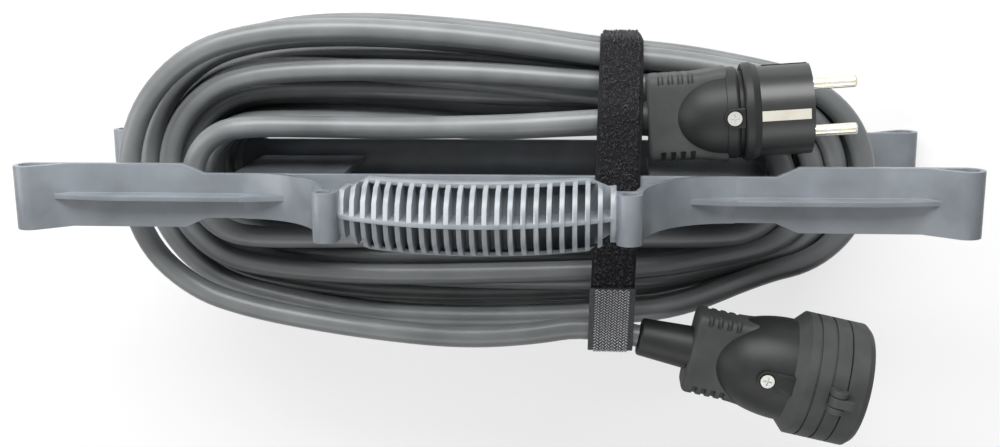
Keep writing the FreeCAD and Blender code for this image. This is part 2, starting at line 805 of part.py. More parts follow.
def make_socket():
    slope = collar_rear + size("shoulder_length")
    collar = turned("socket_collar", [
        (slope, recess_r), (slope, collar_r), (collar_front, collar_r), (collar_front, recess_r)]).Shape
    doc.removeObject("socket_collar")
    shoulder = tapered([(collar_rear, shoulder_r), (slope, collar_r - 0.1)])
    collar = collar.fuse(shoulder.cut(cylinder((collar_rear - 1, 0, 0), (1, 0, 0), recess_r, 40)))
    gap = size("seat_gap")
    for y0, y1 in ((-barrel_half, -KNUCKLE - gap), (KNUCKLE + gap, barrel_half)):
        ear = barrel(y0, y1).fuse(box(hinge[0] - barrel_r, hinge[0] + barrel_r - 1.0, y0, y1,
                                      collar_r - 1.5, hinge[1]))
        collar = collar.fuse(ear)
    collar = collar.cut(barrel(-barrel_half - 1, barrel_half + 1, hinge_pin_r + FIT / 2))
    collar = collar.cut(barrel(-KNUCKLE - gap, KNUCKLE + gap, barrel_r + gap))
    placed("socket_collar", collar.removeSplitter(), SOCKET_AT)

    insert = cylinder((collar_rear, 0, 0), (1, 0, 0), recess_r - FIT, recess_floor - collar_rear)
    insert = insert.fuse(cylinder((BOSS_BACK, 0, 0), (1, 0, 0), BOSS_R, collar_rear - BOSS_BACK))
    sleeve_r, bore_r = size("contact_dia") / 2, size("contact_bore") / 2
    for side in (1, -1):
        insert = insert.cut(cylinder((BOSS_BACK, side * pin_off, 0), (1, 0, 0), sleeve_r + FIT, 40))
    placed("socket_insert", insert.removeSplitter(), SOCKET_AT)
    for name, side in (("socket_contact_line", 1), ("socket_contact_neutral", -1)):
        rear = recess_floor - size("contact_length")
        sleeve = cylinder((rear, side * pin_off, 0), (1, 0, 0), sleeve_r, size("contact_length"))
        bore = cylinder((rear - 1, side * pin_off, 0), (1, 0, 0), bore_r, 40)
        placed(name, sleeve.cut(bore), SOCKET_AT)
    half_clip = size("earth_clip_width") / 2
    for name, side in (("socket_earth_clip_upper", 1), ("socket_earth_clip_lower", -1)):
        inner = recess_r - FIT - size("earth_clip_thick")
        low, high = sorted((side * inner, side * (recess_r - 3 * FIT)))
        front = collar_front - size("earth_clip_set")
        strip = box(recess_floor + 2 * FIT, front, -half_clip, half_clip, low, high)
        placed(name, strip, SOCKET_AT)

    shell = bullet(collar_rear, socket_back + size("nose_set"), shoulder_r - 0.5, size("nose_dia") / 2)
    tail_front = min(BOSS_BACK - 4, socket_back + size("tail_length"))
    shell = shell.fuse(grip_tail(tail_front, socket_back))
    screw_x, screw_top = collar_rear - size("socket_boss_set"), shoulder_r + size("socket_boss_stand")
    boss, hole = screw_boss(screw_x, screw_top, BOSS_R + 1)
    cavity = cylinder((BOSS_BACK - 3, 0, 0), (1, 0, 0), BOSS_R + FIT, 60)
    shell = shell.fuse(boss).cut(hole).cut(cavity).removeSplitter()
    placed("socket_housing", shell, SOCKET_AT)
    placed("socket_housing_screw", screw(screw_x, screw_top), SOCKET_AT)
    placed("socket_strain_relief", relief(
        socket_back - size("socket_relief_length"), socket_back, size("socket_relief_dia")), SOCKET_AT)

    cap_rear = lid_back + size("lid_depth")
    skirt_r, bevel = collar_r - size("lid_skirt"), size("lid_chamfer")
    lid = turned("socket_lid", [
        (lid_back, skirt_r), (lid_back, collar_r), (-bevel, collar_r), (-bevel, 0), (cap_rear, 0),
        (cap_rear, skirt_r)]).Shape
    doc.removeObject("socket_lid")
    lid = lid.fuse(tapered([(-bevel, collar_r - 0.1), (0, collar_r - bevel)]))
    arm_front = lid_back + size("lid_arm_thick")
    arm = box(hinge[0], arm_front, -KNUCKLE, KNUCKLE, hinge[1], hinge[1] + barrel_r)
    arm = arm.fuse(box(lid_back, arm_front, -KNUCKLE, KNUCKLE, collar_r - 2.0, hinge[1] + barrel_r))
    lid = lid.fuse(arm.fuse(barrel(-KNUCKLE, KNUCKLE)))
    lid = lid.cut(barrel(-KNUCKLE - 1, KNUCKLE + 1, hinge_pin_r + FIT)).removeSplitter()
    placed("socket_lid", lid, SOCKET_AT)
    placed("lid_hinge_pin", barrel(-barrel_half, barrel_half, hinge_pin_r), SOCKET_AT)


make_socket()


# ---------------------------------------------------------------- leads from the coil
def smooth_route(points):
    """Straight runs joined by tangent arcs as large as the runs allow."""
    edges, at = [], points[0]
    for before, corner, after in zip(points[:-2], points[1:-1], points[2:]):
        to_corner, onward = corner - before, after - corner
        turn = to_corner.getAngle(onward)
        arm = 0.45 * min(to_corner.Length, onward.Length)
        radius = arm / math.tan(turn / 2)
        start = corner - to_corner.normalize() * arm
        end = corner + onward.normalize() * arm
        middle = (start + end) * 0.5
        rise = (end - start).Length / 2 * math.tan(turn / 4)
        edges.append(Part.LineSegment(at, start).toShape())
        edges.append(Part.Arc(start, middle + (corner - middle).normalize() * rise, end).toShape())
        print(f"  bend of {math.degrees(turn):.0f} degrees, radius {radius:.0f} mm")
        at = end
    edges.append(Part.LineSegment(at, points[-1]).toShape())
    return edges


def lead(name, at, rear, coil_end, coil_heading, via):
    """Free stretch from a strain relief's rear end to an end of the coil."""
    start = at.multVec(Vector(rear, 0, 0))
    out = at.Rotation.multVec(Vector(-1, 0, 0))
    points = [start, start + out * via[0]] + [Vector(*p) for p in via[1]]
    points += [coil_end + coil_heading * via[2], coil_end]
    print(name)
    return keep(feature_of(name, tube(smooth_route(points), CABLE)))


PLUG_REAR = shell_back - size("relief_length")
SOCKET_REAR = socket_back - size("socket_relief_length")
lead("plug_lead", PLUG_AT, PLUG_REAR, COIL_START, COIL_OUT, (46.0, [], 46.0))
lead("socket_lead", SOCKET_AT, SOCKET_REAR, COIL_END, COIL_ON,
     (46.0, [(-20.0, -61.0, 90.0)], 52.0))


# ---------------------------------------------------------------- strap
def coil_side(x0, x1, side):
    """How far the winding's surface reaches to one side of the rails between two places along X."""
    reach = CABLE / 2 + 0.6                   # the cable's section over its corners
    return max(side * p.y for _, p in path_points(coil_edges, 2.0) if x0 < p.x < x1) + reach


def make_strap():
    """Flat band round the coil and over the upper rail, and the hook end lapped on it."""
    gap, thick, corner = size("seat_gap"), size("strap_thick"), size("strap_corner")
    x, wide = size("strap_x"), size("strap_width")
    left, right = x - wide / 2 - 3, x + wide / 2 + 3
    far, near = coil_side(left, right, 1) + gap, coil_side(left, right, -1) + gap
    waist, rail_top = size("waist_width") / 2 + 0.5, TOP_FACE + gap
    low, high = size("coil_low") - CABLE / 2 - 0.6 - gap, size("coil_top_right")
    plug_y = PLUG_AT.multVec(Vector(PLUG_REAR, 0, 0)).y
    relief_top = size("plug_z") + size("relief_dia") / 2
    lead_y = SOCKET_AT.multVec(Vector(SOCKET_REAR, 0, 0)).y
    lead_top = size("socket_z") + CABLE / 2
    inner = [
        (waist, rail_top), (plug_y + 3.5, relief_top + gap), (far - 6, high + 14), (far, high),
        (far, low + corner), (far - corner, low), (-near + corner, low), (-near, low + corner),
        (-near, high + 10), (lead_y - 5.5, lead_top - 0.5), (lead_y + 0.5, lead_top + 1.4),
        (-waist, rail_top)]
    ring = Part.makePolygon([Vector(x - wide / 2, y, z) for y, z in inner + inner[:1]])
    outer = ring.makeOffset2D(thick)
    band = Part.Face(outer).cut(Part.Face(ring)).extrude(Vector(wide, 0, 0))
    lap, over_edge = size("hook_thick"), size("hook_overhang")
    shell = ring.makeOffset2D(thick + FIT)
    over = ring.makeOffset2D(thick + FIT + lap)
    patch = Part.Face(over).cut(Part.Face(shell)).extrude(Vector(wide + 2 * over_edge, 0, 0))
    patch.translate(Vector(-over_edge, 0, 0))
    hook_low, hook_edge = high + 6 - size("hook_length"), lead_y + 25
    window = box(0, 2 * x, -near - 20, hook_edge, hook_low, 2 * TOP_FACE)
    turn = Placement(Vector(0, 0, 0), Rotation(Vector(0, 0, 1), size("strap_turn")), Vector(x, 0, 0))
    keep(feature_of("strap_band", band, turn))
    keep(feature_of("strap_hook_end", patch.common(window), turn))


make_strap()

os.makedirs("parts", exist_ok=True)
doc.recompute()
for node in NODES:
    shape = node.Shape
    if "Invalid" in node.State or "Error" in node.State or shape.isNull() or not shape.isValid():
        raise RuntimeError(f"{node.Label} failed: {node.State}")
    shape.exportStep(f"parts/{node.Label}.step")
    bounds = shape.BoundBox
    print(f"{node.Label}: {len(shape.Solids)} solid, {shape.Volume / 1000:.2f} cm3, "
          f"x {bounds.XMin:.1f} {bounds.XMax:.1f} y {bounds.YMin:.1f} {bounds.YMax:.1f} "
          f"z {bounds.ZMin:.1f} {bounds.ZMax:.1f}")
print(len(NODES), "nodes")
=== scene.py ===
# Rubber extension cord wound on a flat plastic winder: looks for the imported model
import json
import math

import bmesh
import bpy
import numpy as np
from mathutils import Matrix, Vector


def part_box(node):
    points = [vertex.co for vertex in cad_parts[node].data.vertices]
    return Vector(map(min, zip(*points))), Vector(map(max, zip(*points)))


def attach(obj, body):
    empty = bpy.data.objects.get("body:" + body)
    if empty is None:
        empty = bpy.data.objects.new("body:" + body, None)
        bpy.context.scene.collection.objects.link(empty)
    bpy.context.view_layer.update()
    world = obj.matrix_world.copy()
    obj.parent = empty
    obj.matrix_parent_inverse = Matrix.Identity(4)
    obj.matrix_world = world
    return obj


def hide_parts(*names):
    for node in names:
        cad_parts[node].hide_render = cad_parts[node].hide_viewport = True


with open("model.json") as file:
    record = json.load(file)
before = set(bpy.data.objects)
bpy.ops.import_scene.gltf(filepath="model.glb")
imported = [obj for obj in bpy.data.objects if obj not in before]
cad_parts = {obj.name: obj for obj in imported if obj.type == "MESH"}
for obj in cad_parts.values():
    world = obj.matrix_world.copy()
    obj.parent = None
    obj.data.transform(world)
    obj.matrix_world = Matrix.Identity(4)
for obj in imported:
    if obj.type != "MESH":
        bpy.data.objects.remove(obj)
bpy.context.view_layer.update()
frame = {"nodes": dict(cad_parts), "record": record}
mm = 0.001
weld, sliver = 2e-6, 1e-7  # metres: points this near are one, and edges this short are taken out
rng = np.random.default_rng(7)  # every random number below comes from here
print("frame loaded:", len(frame["nodes"]), "nodes")


# small tools

def linearColour(hexText):
    # sRGB hex to linear RGBA
    parts = [int(hexText[i:i + 2], 16) / 255 for i in (1, 3, 5)]
    return [c / 12.92 if c <= 0.04045 else ((c + 0.055) / 1.055) ** 2.4 for c in parts] + [1.0]


def addNode(tree, kind, settings=None, inputs=None):
    # one node: settings are its own options, inputs are socket values or the sockets they come from
    node = tree.nodes.new(kind)
    for name, value in (settings or {}).items():
        setattr(node, name, value)
    for name, value in (inputs or {}).items():
        if isinstance(value, bpy.types.NodeSocket):
            tree.links.new(value, node.inputs[name])
        else:
            node.inputs[name].default_value = value
    return node


def newMaterial(name):
    material = bpy.data.materials.new(name)
    material.use_nodes = True
    material.node_tree.nodes.clear()
    return material, material.node_tree


def finishMaterial(tree, shader):
    addNode(tree, "ShaderNodeOutputMaterial", inputs={"Surface": shader.outputs[0]})


def addObject(name, data):
    piece = bpy.data.objects.new(name, data)
    bpy.context.scene.collection.objects.link(piece)
    return piece


def turnedMatrix(x, y, z, degrees):
    # a piece's own axes to the row's: turned about Z, then moved
    return Matrix.Translation(Vector((x, y, z)) * mm) @ Matrix.Rotation(math.radians(degrees), 4, "Z")


def smoothStep(value, low, high):
    # 0 below low, 1 above high, and an eased ramp between
    t = np.clip((value - low) / (high - low), 0, 1)
    return t * t * (3 - 2 * t)


# surfaces: grids of points, and the meshes made of them

def roundedProfile(corners, radius, steps=4):
    # each inner corner of a run of points becomes a quadratic curve that starts radius before it
    corners = np.array(corners, float)
    before, after = corners[:-2] - corners[1:-1], corners[2:] - corners[1:-1]
    longBefore = np.linalg.norm(before, axis=1, keepdims=True)
    longAfter = np.linalg.norm(after, axis=1, keepdims=True)
    reach = np.minimum(radius, 0.45 * np.minimum(longBefore, longAfter))
    start = (corners[1:-1] + before / longBefore * reach)[:, None]
    end = (corners[1:-1] + after / longAfter * reach)[:, None]
    middle = corners[1:-1][:, None]
    t = np.linspace(0, 1, steps + 1)[None, :, None]
    bends = (1 - t) ** 2 * start + 2 * t * (1 - t) * middle + t ** 2 * end
    return np.concatenate([corners[:1], bends.reshape(-1, 2), corners[-1:]])


def distanceAlong(points):
    # how far along the run each point lies, always rising
    run = np.r_[0, np.cumsum(np.linalg.norm(np.diff(points, axis=0), axis=1))]
    return run + np.arange(len(run)) * 1e-9


def spacedProfile(profile, step):
    # the same run with more points, so that none is further than step from the next
    run = distanceAlong(profile)
    places = np.unique(np.r_[run, np.arange(0, run[-1], step)])
    return np.stack([np.interp(places, run, profile[:, i]) for i in range(profile.shape[1])], axis=-1)


# each surface here returns its grid, and whether its rows and its columns close into rings

def turnedSurface(profile, sides=96, dent=None, centre=(0, 0, 0), axis="X"):
    # rows of x and radius turned about X: (x, r cos, r sin); dent(x, angle) is taken off the radius
    angle = np.linspace(0, 2 * np.pi, sides, endpoint=False)[None, :]
    x, r = profile[:, :1] + 0 * angle, profile[:, 1:] + 0 * angle
    if dent:
        r = np.clip(r - dent(x, angle), 0, None)
    points = np.stack([x, r * np.cos(angle), r * np.sin(angle)], axis=-1)
    if axis == "Y":
        points = points[..., [1, 0, 2]]
    return points + np.array(centre), False, True


def superLoft(xs, halfWide, halfTall, power, columns=120, centre=(0, 0, 0)):
    # superellipse sections along X: y = a cos^(2/p), z = b sin^(2/p); the first and last are points
    for half in (halfWide, halfTall):
        half[[0, -1]] = 1e-4
    angle = np.linspace(0, 2 * np.pi, columns, endpoint=False)[None, :]
    c, s = np.cos(angle), np.sin(angle)
    y = halfWide[:, None] * np.sign(c) * np.abs(c) ** (2 / power)
    z = halfTall[:, None] * np.sign(s) * np.abs(s) ** (2 / power)
    x = np.array(xs)[:, None] + 0 * angle
    return np.stack([x, y, z], axis=-1) + np.array(centre), False, True


def rodAlongY(y0, y1, radius, x, z, sides=48, soft=0.35):
    # short round bar along Y with softened ends
    outline = roundedProfile([(y0, 0), (y0, radius), (y1, radius), (y1, 0)], soft)
    return turnedSurface(outline, sides, centre=(x, 0, z), axis="Y")


def blockSurface(x0, x1, y0, y1, z0, z1, soft=0.45):
    # block as a superellipse loft of a high power along X; its insets follow a softened edge
    xs = np.array([x0, x0, x0 + soft / 3, x0 + soft, x1 - soft, x1 - soft / 3, x1, x1])
    inset = np.array([0, soft, 0.13, 0, 0, 0.13, soft, 0])
    halfWide, halfTall = (y1 - y0) / 2 - inset, (z1 - z0) / 2 - inset
    return superLoft(xs, halfWide, halfTall, 9, columns=64, centre=(0, (y0 + y1) / 2, (z0 + z1) / 2))


def gridQuads(rows, columns, closeU, closeV):
    u = np.arange(rows if closeU else rows - 1)
    v = np.arange(columns if closeV else columns - 1)
    uu, vv = np.meshgrid(u, v, indexing="ij")
    nextU, nextV = (uu + 1) % rows, (vv + 1) % columns
    return np.stack([uu * columns + vv, nextU * columns + vv,
                     nextU * columns + nextV, uu * columns + nextV], axis=-1).reshape(-1, 4)


def quadMesh(name, points, quads, smooth=True):
    # points are places in metres, quads the numbers of four points each
    mesh = bpy.data.meshes.new(name)
    mesh.from_pydata(points.reshape(-1, 3).tolist(), [], quads.tolist())
    mesh.polygons.foreach_set("use_smooth", np.full(len(quads), smooth))
    return mesh


def closeShells(mesh, sharpAngle):
    # merges the poles' points, turns every shell outwards and keeps edges over the angle crisp
    work = bmesh.new()
    work.from_mesh(mesh)
    bmesh.ops.remove_doubles(work, verts=work.verts, dist=weld)
    bmesh.ops.dissolve_degenerate(work, edges=work.edges, dist=sliver)
    bmesh.ops.recalc_face_normals(work, faces=work.faces)
    work.to_mesh(mesh)
    work.free()
    mesh.polygons.foreach_set("use_smooth", np.ones(len(mesh.polygons), bool))
    mesh.set_sharp_from_angle(angle=math.radians(sharpAngle))


def shellPiece(name, surfaces, place, sharpAngle=32, textured=()):
    # one mesh of several closed shells, each a grid of points in the piece's own millimetres;
    # the shells whose numbers are in textured take the piece's second material
    points, quads, offset = [], [], 0
    for grid, closeU, closeV in surfaces:
        points.append(grid.reshape(-1, 3))
        quads.append(gridQuads(grid.shape[0], grid.shape[1], closeU, closeV) + offset)
        offset += points[-1].shape[0]
    turn = np.array(place.to_3x3())
    coords = np.concatenate(points) * mm @ turn.T + np.array(place.translation)
    mesh = quadMesh(name, coords, np.concatenate(quads))
    second = np.concatenate([np.full(len(cells), shell in textured) for shell, cells in enumerate(quads)])
    mesh.polygons.foreach_set("material_index", second.astype(np.int32))
    closeShells(mesh, sharpAngle)
    return addObject(name, mesh)


def dressPiece(piece, material, body="winder", replaced=()):
    # what every new piece of the object needs: its finish, its body and the solids it stands for
    piece.data.materials.append(material)
    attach(piece, body)
    if replaced:
        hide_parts(*replaced)
    return piece


# stage: camera, lamps, floor

cameraValues = {"place": (46.7, 95.7, 594.0), "yaw": 0.084, "tilt": -0.215, "roll": -0.008,  # mm and radians
                "lens": 44.1, "sensor": 36.0, "near": 10}
lampValues = {  # place and target in mm, edge lengths in mm, watts
    "farSoftbox": ((-60, 620, 560), (0, 0, 60), (900, 420), 12.0),
    "nearSoftbox": ((0, -560, 620), (0, 0, 60), (900, 380), 2.3),
    "leftSoftbox": ((-760, 60, 480), (0, 0, 60), (500, 500), 2.2),
}
floorValues = {"reach": 3000, "drop": 0.5, "paint": 0.93, "cameraWhite": 0.65, "worldLight": 0.1}


def makeCamera():
    v = cameraValues
    data = bpy.data.cameras.new("camera")
    data.lens = v["lens"]
    data.sensor_width = v["sensor"]
    data.clip_start = v["near"] * mm
    camera = addObject("camera", data)
    camera.matrix_world = (Matrix.Translation(Vector(v["place"]) * mm) @ Matrix.Rotation(v["yaw"], 4, "Y")
                           @ Matrix.Rotation(v["tilt"], 4, "X") @ Matrix.Rotation(v["roll"], 4, "Z"))
    bpy.context.scene.camera = camera


def makeLamp(name, place, target, edges, watts):
    data = bpy.data.lights.new(name, "AREA")
    data.shape = "RECTANGLE"
    data.size, data.size_y = edges[0] * mm, edges[1] * mm
    data.energy = watts
    aim = (Vector(target) - Vector(place)).to_track_quat("-Z", "Y").to_matrix().to_4x4()
    addObject(name, data).matrix_world = Matrix.Translation(Vector(place) * mm) @ aim


def makeWorld():
    # plain white to the camera, in gloss and through glass, and the lit shade for everything else
    world = bpy.data.worlds.new("paleStudio")
    bpy.context.scene.world = world
    world.use_nodes = True
    tree = world.node_tree
    tree.nodes.clear()
    paths = addNode(tree, "ShaderNodeLightPath")
    seen = addNode(tree, "ShaderNodeMath", {"operation": "MAXIMUM"},
                   {0: paths.outputs["Is Camera Ray"], 1: paths.outputs["Is Glossy Ray"]})
    seen = addNode(tree, "ShaderNodeMath", {"operation": "MAXIMUM"},
                   {0: seen.outputs[0], 1: paths.outputs["Is Transmission Ray"]})
    white, lit = (addNode(tree, "ShaderNodeBackground", inputs={"Color": (1, 1, 1, 1), "Strength": strength})
                  for strength in (1.0, floorValues["worldLight"]))
    backdrop = addNode(tree, "ShaderNodeMixShader",
                       inputs={0: seen.outputs[0], 1: lit.outputs[0], 2: white.outputs[0]})
    addNode(tree, "ShaderNodeOutputWorld", inputs={"Surface": backdrop.outputs[0]})


def makeFloor():
    # pale paint that is partly plain white to the camera, so that the shadow stays light
    v = floorValues
    reach = v["reach"] * mm
    corners = np.array([[-1, -1, 0], [-1, 1, 0], [1, -1, 0], [1, 1, 0]], float) * reach
    floor = addObject("floor", quadMesh("floor", corners, gridQuads(2, 2, False, False), smooth=False))
    floor.location.z = -v["drop"] * mm
    material, tree = newMaterial("paleFloor")
    paths = addNode(tree, "ShaderNodeLightPath")
    share = addNode(tree, "ShaderNodeMath", {"operation": "MULTIPLY"},
                    {0: paths.outputs["Is Camera Ray"], 1: v["cameraWhite"]})
    white = addNode(tree, "ShaderNodeEmission", inputs={"Color": (1, 1, 1, 1), "Strength": 1.0})
    paint = addNode(tree, "ShaderNodeBsdfPrincipled",
                    inputs={"Base Color": [v["paint"]] * 3 + [1], "Roughness": 0.9})
    finishMaterial(tree, addNode(tree, "ShaderNodeMixShader",
                                 inputs={0: share.outputs[0], 1: paint.outputs[0], 2: white.outputs[0]}))
    floor.data.materials.append(material)


makeCamera()
bpy.context.scene.view_settings.view_transform = "Standard"
for lampName, lampSetting in lampValues.items():
    makeLamp(lampName, *lampSetting)
makeWorld()
makeFloor()
print("stage made")


# materials

def plainSurface(name, dark, light, roughness, ior, patch, grain, depth, strength, **extra):
    # two close shades of one colour mixed by noise, under a fine grain. patch, grain and depth are in
    # mm: the size of the colour's patches, and the size and depth of the grain
    material, tree = newMaterial(name)
    coords = addNode(tree, "ShaderNodeTexCoord").outputs["Object"]
    clouds, grains = (addNode(tree, "ShaderNodeTexNoise", inputs={
        "Vector": coords, "Scale": 1 / (size * mm), "Detail": detail})
        for size, detail in ((patch, 3.0), (grain, 2.0)))
    share = addNode(tree, "ShaderNodeMapRange",
                    inputs={"Value": clouds.outputs["Fac"], "From Min": 0.3, "From Max": 0.7})
    colour = addNode(tree, "ShaderNodeMix", {"data_type": "RGBA"},
                     {"Factor": share.outputs[0], "A": linearColour(dark), "B": linearColour(light)})
    bump = addNode(tree, "ShaderNodeBump", inputs={"Height": grains.outputs["Fac"], "Distance": depth * mm,
                                                   "Strength": strength})
    inputs = {"Base Color": colour.outputs["Result"], "Roughness": roughness, "IOR": ior,
              "Normal": bump.outputs["Normal"]}
    inputs.update(extra)
    finishMaterial(tree, addNode(tree, "ShaderNodeBsdfPrincipled", inputs=inputs))
    return material


# injection-moulded polypropylene: satin, blue-grey, faint flow patches
framePlastic = plainSurface("mouldedPolypropylene", "#646a6f", "#767c82", roughness=0.33, ior=1.5,
                            patch=18, grain=0.5, depth=0.03, strength=0.45)
# the grip's own moulding: the same plastic, paler
gripPlastic = plainSurface("paleMouldedPolypropylene", "#7b8186", "#8e9499", roughness=0.33, ior=1.5,
                           patch=14, grain=0.5, depth=0.03, strength=0.45)
# extruded rubber sheath: grey with a broad soft shine and a dusty bloom
cableRubber = plainSurface("extrudedRubberSheath", "#5f6263", "#777a7b", roughness=0.37, ior=1.5,
                           patch=30, grain=0.35, depth=0.03, strength=0.35)
# compression-moulded rubber: black, dull, slightly grained
bodyRubber = plainSurface("mouldedRubber", "#101111", "#1f2020", roughness=0.46, ior=1.36,
                          patch=12, grain=0.4, depth=0.03, strength=0.4)
# the same rubber, paler and duller: moulded against an etched tool on the tails, while on the socket's
# collar and lid its paler shade is painted light, where they stand lit more than the body
etchedAndPaintedLitRubber = plainSurface("etchedRubberAndPaintedLight", "#2e302f", "#3c3e3d", roughness=0.6, ior=1.4,
                              patch=12, grain=0.6, depth=0.08, strength=0.6)
# moulded polyamide: black, a little glossier than rubber
insertPlastic = plainSurface("mouldedPolyamide", "#191a1a", "#252626", roughness=0.32, ior=1.45,
                             patch=20, grain=0.6, depth=0.01, strength=0.3)
# nickel-plated brass: warm pale metal
platedBrass = plainSurface("nickelPlatedBrass", "#d8d4c4", "#e6e3d8", roughness=0.26, ior=1.5,
                           patch=8, grain=0.3, depth=0.005, strength=0.2, Metallic=1.0)
# zinc-plated steel: bright
screwSteel = plainSurface("zincPlatedSteel", "#c4c4c0", "#d6d6d2", roughness=0.3, ior=1.5,
                          patch=5, grain=0.3, depth=0.005, strength=0.3, Metallic=1.0)
# looped pile tape: the knitted ground under its loops
loopTape = plainSurface("fuzzyLoopTape", "#08080a", "#1d1d20", roughness=0.9, ior=1.3,
                        patch=1.2, grain=0.5, depth=0.3, strength=0.9)
# woven hook tape
hookTape = plainSurface("wovenHookTape", "#2c2d2f", "#55565a", roughness=0.8, ior=1.35,
                        patch=0.5, grain=0.45, depth=0.15, strength=0.9)
# single nylon threads: the pile's are black and glossy, with paler patches that are painted glints; the
# hooks' pale
pileThreadPaintedGlints = plainSurface("blackNylonThreadWithPaintedGlints", "#0a0a0c", "#505055", roughness=0.4, ior=1.4,
                          patch=1.1, grain=0.5, depth=0.01, strength=0.2)
hookThread = plainSurface("greyNylonThread", "#b4b5b7", "#dcdddf", roughness=0.4, ior=1.53,
                          patch=0.9, grain=0.5, depth=0.01, strength=0.2)
slotMaterials = {"frame_plastic": framePlastic, "cable_rubber": cableRubber, "body_rubber": bodyRubber,
                 "insert_plastic": insertPlastic, "plated_brass": platedBrass, "screw_steel": screwSteel,
                 "loop_fabric": loopTape, "hook_fabric": hookTape}
for part in frame["record"]["subparts"]:
    node = frame["nodes"][part["node"]]
    node.data.materials.clear()
    node.data.materials.append(slotMaterials[part["material_slot"]])
print("materials made")


# the cord: a loose winding, with a lead to the plug and one to the socket

cordValues = {  # mm, where no other measure is said
    "diameter": 9.5, "length": 12.0,  # the length in metres
    "turns": 18, "stations": 24, "layers": 4,  # stations are points in a turn
    # quarters of a lap: the right end is 0 to 1, then the far side, the left end and the near side
    "start": 1.15, "endOfLead": 1.6, "end": 2.62,
    # x, y and radius of the arc round each end, for the inmost and the outermost turn
    "innerRight": (102, 0, 24), "outerRight": (117, 2, 43),
    "innerLeft": (-107, 0, 25), "outerLeft": (-98, 4, 61),
    # how far the outermost turn swells on each side, and on the near side more to the right
    "farBulge": 6.0, "nearBulge": 17, "nearSwell": 1.3, "nearTaper": 0.7,
    # how far the strap draws each side in, and where
    "farPull": 3.0, "nearPull": 2.0, "pullX": 53, "pullWidth": 34,
    # how far the inmost turns sag in between the core plates: up to sagFull of the half side they
    # do so fully, and past sagNone not at all
    "slack": 9, "sagFull": 0.05, "sagNone": 0.5,
    # heights of the lowest and the topmost turns; the top changes from x = topReach to its opposite
    "low": 20.6, "topLeft": 88, "topRight": 70, "topReach": 90,
    # how far turns stray outwards and upwards, and over how many stations
    "wanderOut": 5.0, "wanderOutOver": 9, "wanderUp": 7.0, "wanderUpOver": 8,
    # rounds of pushing apart, how much of a bend each one takes out, the least gap in diameters, and
    # the stations over which the ends come loose from their places
    "rounds": 600, "relax": 0.25, "gap": 1.02, "heldEnds": 8,
}
routeValues = {
    "straight": 22,  # the cord leaves the plug and the socket straight for this far
    "plugBend": 46, "plugDrop": 1.5,  # then the plug's lead has come down by a little
    "windingFrom": -10,  # and joins the winding where that first passes this x
    "socketLead": [(-132, -47, 83), (-109, -54.5, 84), (-80, -59.5, 86), (-46, -63.5, 88), (-12, -65.5, 90),
                   (18, -62.5, 92.5)],
}
# the ends of the cord and the way that each one leaves
plugRear = Vector((53.17, 30.45, 97.0))
plugOut = Vector((-0.9978, -0.0663, 0))
socketRear = Vector((63.25, -62.08, 94.0))
socketOut = Vector((-0.97705, 0.21303, 0))


def turnPoint(p, share, z):
    # one turn is an egg: an arc round each end, the near and far sides between them. p counts
    # quarters of a lap, share is 0 for the inmost turn and 1 for the outermost
    v = cordValues
    p = p % 4
    angle = np.pi * (np.clip(p, 0, 1) + np.clip(p - 2, 0, 1) - 0.5)
    along = np.clip(p - 1, 0, 1) - np.clip(p - 3, 0, 1)  # 0 at the right end, 1 at the left end
    inner, outer = np.array(v["innerRight"]), np.array(v["outerRight"])
    right = inner + (outer - inner) * share[..., None]
    inner, outer = np.array(v["innerLeft"]), np.array(v["outerLeft"])
    left = inner + (outer - inner) * share[..., None]
    here = right + (left - right) * along[..., None]
    x = here[..., 0] + here[..., 2] * np.cos(angle)
    y = here[..., 1] + here[..., 2] * np.sin(angle)
    swell = (1 - (2 * along - 1) ** 4) * share
    pull = np.exp(-((x - v["pullX"]) / v["pullWidth"]) ** 2) * share
    farMove = v["farBulge"] * swell - v["farPull"] * pull
    nearMove = -v["nearBulge"] * swell * (v["nearSwell"] - v["nearTaper"] * along) + v["nearPull"] * pull
    y = y + np.where(np.sin(angle) > 0, farMove, nearMove)
    middle = 1 - smoothStep(np.abs(2 * along - 1), v["sagFull"], v["sagNone"])
    sag = v["slack"] * middle * np.clip(1 - 2 * share, 0, 1)
    y = y - np.sin(angle) * sag * np.clip((v["topLeft"] - z) / (v["topLeft"] - v["low"]), 0, 1)
    return np.stack([x, y, z], axis=-1)


def slowNoise(count, period, amount):
    # smooth noise: normals at every period-th place, joined by a cosine ramp
    knots = rng.normal(0, amount, int(count / period) + 3)
    at = np.arange(count) / period
    low = at.astype(int)
    ease = (1 - np.cos(np.pi * (at - low))) / 2
    return knots[low] * (1 - ease) + knots[low + 1] * ease


